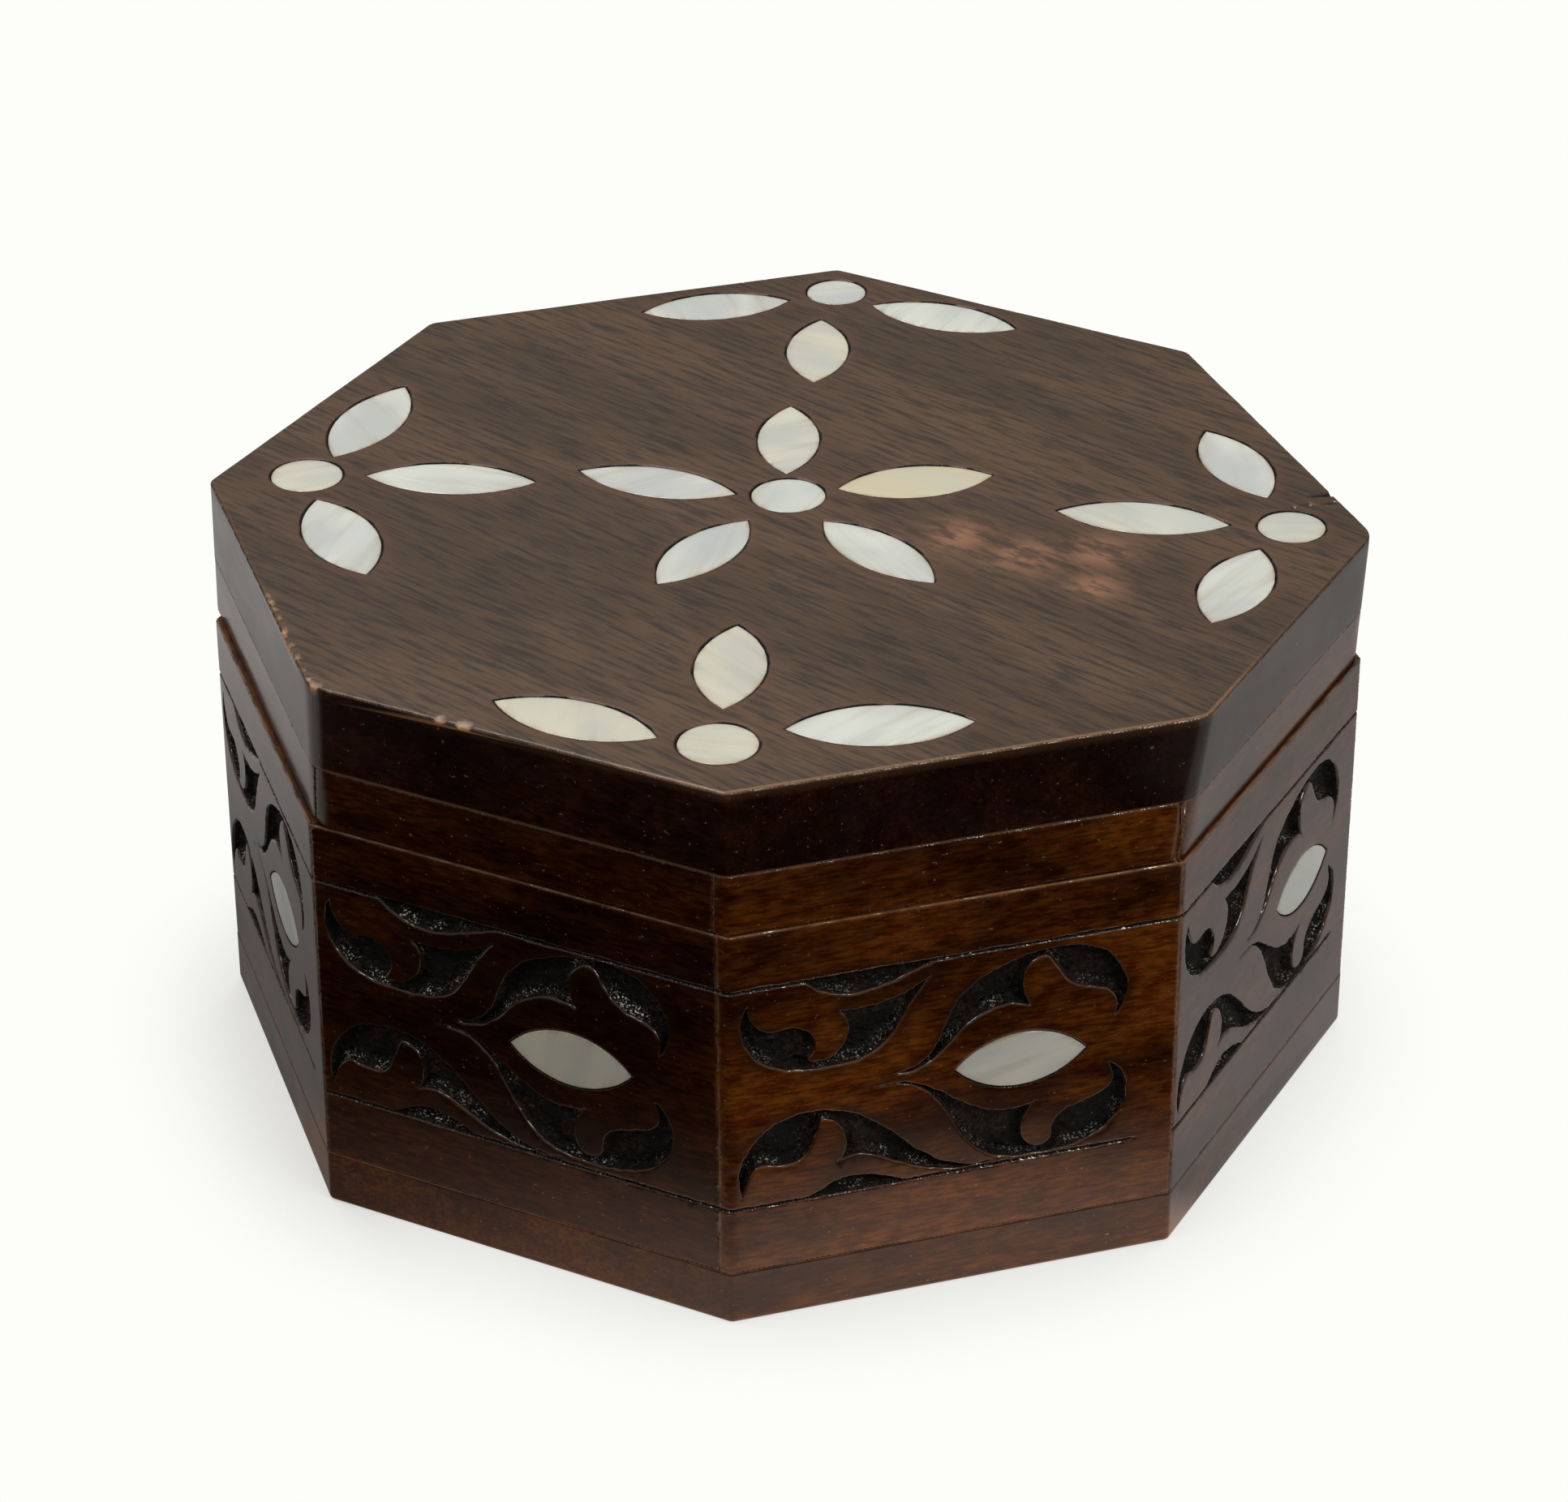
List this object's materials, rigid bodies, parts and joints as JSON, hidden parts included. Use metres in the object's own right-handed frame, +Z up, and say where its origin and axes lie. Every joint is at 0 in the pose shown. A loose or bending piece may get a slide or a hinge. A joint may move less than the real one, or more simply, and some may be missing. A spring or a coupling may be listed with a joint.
{
  "type": "inlaid wooden box",
  "caption": "Small octagonal carved walnut box with a hinged lid, shell petals and discs let into the lid and a shell eye in each carved wall, lined with velvet.",
  "frame": {"origin": "on the underside of the base board, under the middle of the box", "axes": "+Z up from the underside to the lid, -Y towards the front wall, +Y towards the hinge, +X to the right seen from the front"},
  "size_m": [0.1009, 0.1014, 0.0538],
  "materials": {
    "walnut_top": "satin",
    "walnut_side": "gloss",
    "shell": "polished",
    "brass": "satin",
    "velvet": "matte"
  },
  "bodies": {
    "box": {"base_board": "walnut_side", "floor_pad": "velvet", "hinge_leaf_lower": "brass", "hinge_pin": "brass", "hinge_screws_lower": "brass", "shell_eye_back": "shell", "shell_eye_back_left": "shell", "shell_eye_back_right": "shell", "shell_eye_front": "shell", "shell_eye_front_left": "shell", "shell_eye_front_right": "shell", "shell_eye_left": "shell", "shell_eye_right": "shell", "wall_back": "walnut_side", "wall_back_left": "walnut_side", "wall_back_right": "walnut_side", "wall_front": "walnut_side", "wall_front_left": "walnut_side", "wall_front_right": "walnut_side", "wall_left": "walnut_side", "wall_lining": "velvet", "wall_right": "walnut_side"},
    "lid": {"hinge_leaf_upper": "brass", "hinge_screws_upper": "brass", "lid_board": "walnut_top", "lid_pad": "velvet", "rim_back": "walnut_side", "rim_back_left": "walnut_side", "rim_back_right": "walnut_side", "rim_front": "walnut_side", "rim_front_left": "walnut_side", "rim_front_right": "walnut_side", "rim_left": "walnut_side", "rim_right": "walnut_side", "shell_back_disc": "shell", "shell_back_petal_1": "shell", "shell_back_petal_2": "shell", "shell_back_petal_3": "shell", "shell_centre_disc": "shell", "shell_centre_petal_1": "shell", "shell_centre_petal_2": "shell", "shell_centre_petal_3": "shell", "shell_centre_petal_4": "shell", "shell_centre_petal_5": "shell", "shell_front_disc": "shell", "shell_front_petal_1": "shell", "shell_front_petal_2": "shell", "shell_front_petal_3": "shell", "shell_left_disc": "shell", "shell_left_petal_1": "shell", "shell_left_petal_2": "shell", "shell_left_petal_3": "shell", "shell_right_disc": "shell", "shell_right_petal_1": "shell", "shell_right_petal_2": "shell", "shell_right_petal_3": "shell"}
  },
  "joints": [
    {"name": "lid_hinge", "type": "hinge", "parent": "box", "child": "lid", "pos_m": [0, 0.0495, 0.0403], "axis": [-1, 0, 0], "range_deg": [0, 100]}
  ]
}
